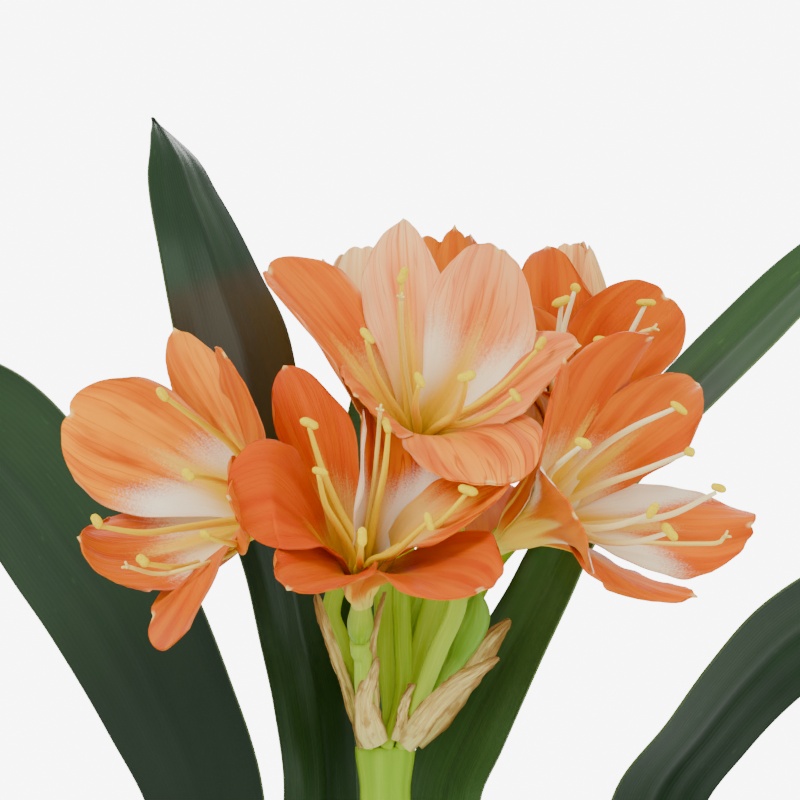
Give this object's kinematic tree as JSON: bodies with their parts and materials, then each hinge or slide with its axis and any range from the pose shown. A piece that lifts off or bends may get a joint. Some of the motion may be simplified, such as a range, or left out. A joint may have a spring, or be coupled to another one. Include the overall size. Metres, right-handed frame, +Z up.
{
  "type": "flowering pot plant",
  "caption": "Clivia in flower in a terracotta pot: strap leaves, a stout flower stalk and an umbel of orange funnel flowers with yellow stamens.",
  "frame": {"origin": "centre of the pot's underside, on the surface it stands on", "axes": "+Z up along the pot's axis, the front of the flower head faces -Y, +X to its right"},
  "size_m": [0.5292, 0.3713, 0.5783],
  "materials": {
    "terracotta": "matt unglazed fired clay",
    "soil": "dark crumbly potting soil",
    "stalk_green": "smooth waxy yellow-green stalk",
    "leaf_green": "waxy dark green leaf with fine parallel veins",
    "bud_green": "ribbed waxy green bud",
    "pistil_pale": "yellow-green ovary, pale style",
    "stamen_yellow": "pale yellow filaments with bright yellow powdery anthers",
    "petal_orange": "soft satin orange petal with white band and yellow throat",
    "bract_papery": "dry papery tan bract"
  },
  "bodies": {
    "root": {"pot": "terracotta", "soil": "soil", "scape": "stalk_green", "leaf_tall": "leaf_green", "leaf_wide_left": "leaf_green", "leaf_right_behind": "leaf_green", "leaf_low_right": "leaf_green", "leaf_dark_middle": "leaf_green", "leaf_outer_left": "leaf_green", "leaf_outer_right": "leaf_green", "leaf_rear_left": "leaf_green", "leaf_rear_right": "leaf_green", "leaf_young_front": "leaf_green", "flower_front_pedicel": "stalk_green", "flower_upper_pedicel": "stalk_green", "flower_left_pedicel": "stalk_green", "flower_right_pedicel": "stalk_green", "flower_upper_right_pedicel": "stalk_green", "flower_back_upper_pedicel": "stalk_green", "flower_back_upper_left_pedicel": "stalk_green", "flower_back_left_pedicel": "stalk_green", "flower_bud_tall_pedicel": "stalk_green", "flower_back_pedicel": "stalk_green", "bud_green": "bud_green", "flower_front_pistil": "pistil_pale", "flower_upper_pistil": "pistil_pale", "flower_left_pistil": "pistil_pale", "flower_right_pistil": "pistil_pale", "flower_upper_right_pistil": "pistil_pale", "flower_back_upper_pistil": "pistil_pale", "flower_back_upper_left_pistil": "pistil_pale", "flower_back_left_pistil": "pistil_pale", "flower_back_pistil": "pistil_pale", "flower_front_stamens": "stamen_yellow", "flower_upper_stamens": "stamen_yellow", "flower_left_stamens": "stamen_yellow", "flower_right_stamens": "stamen_yellow", "flower_upper_right_stamens": "stamen_yellow", "flower_back_upper_stamens": "stamen_yellow", "flower_back_upper_left_stamens": "stamen_yellow", "flower_back_left_stamens": "stamen_yellow", "flower_back_stamens": "stamen_yellow", "flower_front_perianth": "petal_orange", "flower_upper_perianth": "petal_orange", "flower_left_perianth": "petal_orange", "flower_right_perianth": "petal_orange", "flower_upper_right_perianth": "petal_orange", "flower_back_upper_perianth": "petal_orange", "flower_back_upper_left_perianth": "petal_orange", "flower_back_left_perianth": "petal_orange", "flower_bud_tall_perianth": "petal_orange", "flower_back_perianth": "petal_orange", "bract_front": "bract_papery", "bract_left": "bract_papery", "bract_right": "bract_papery", "bract_back_right": "bract_papery", "bract_back": "bract_papery", "bract_small": "bract_papery"}
  },
  "joints": []
}
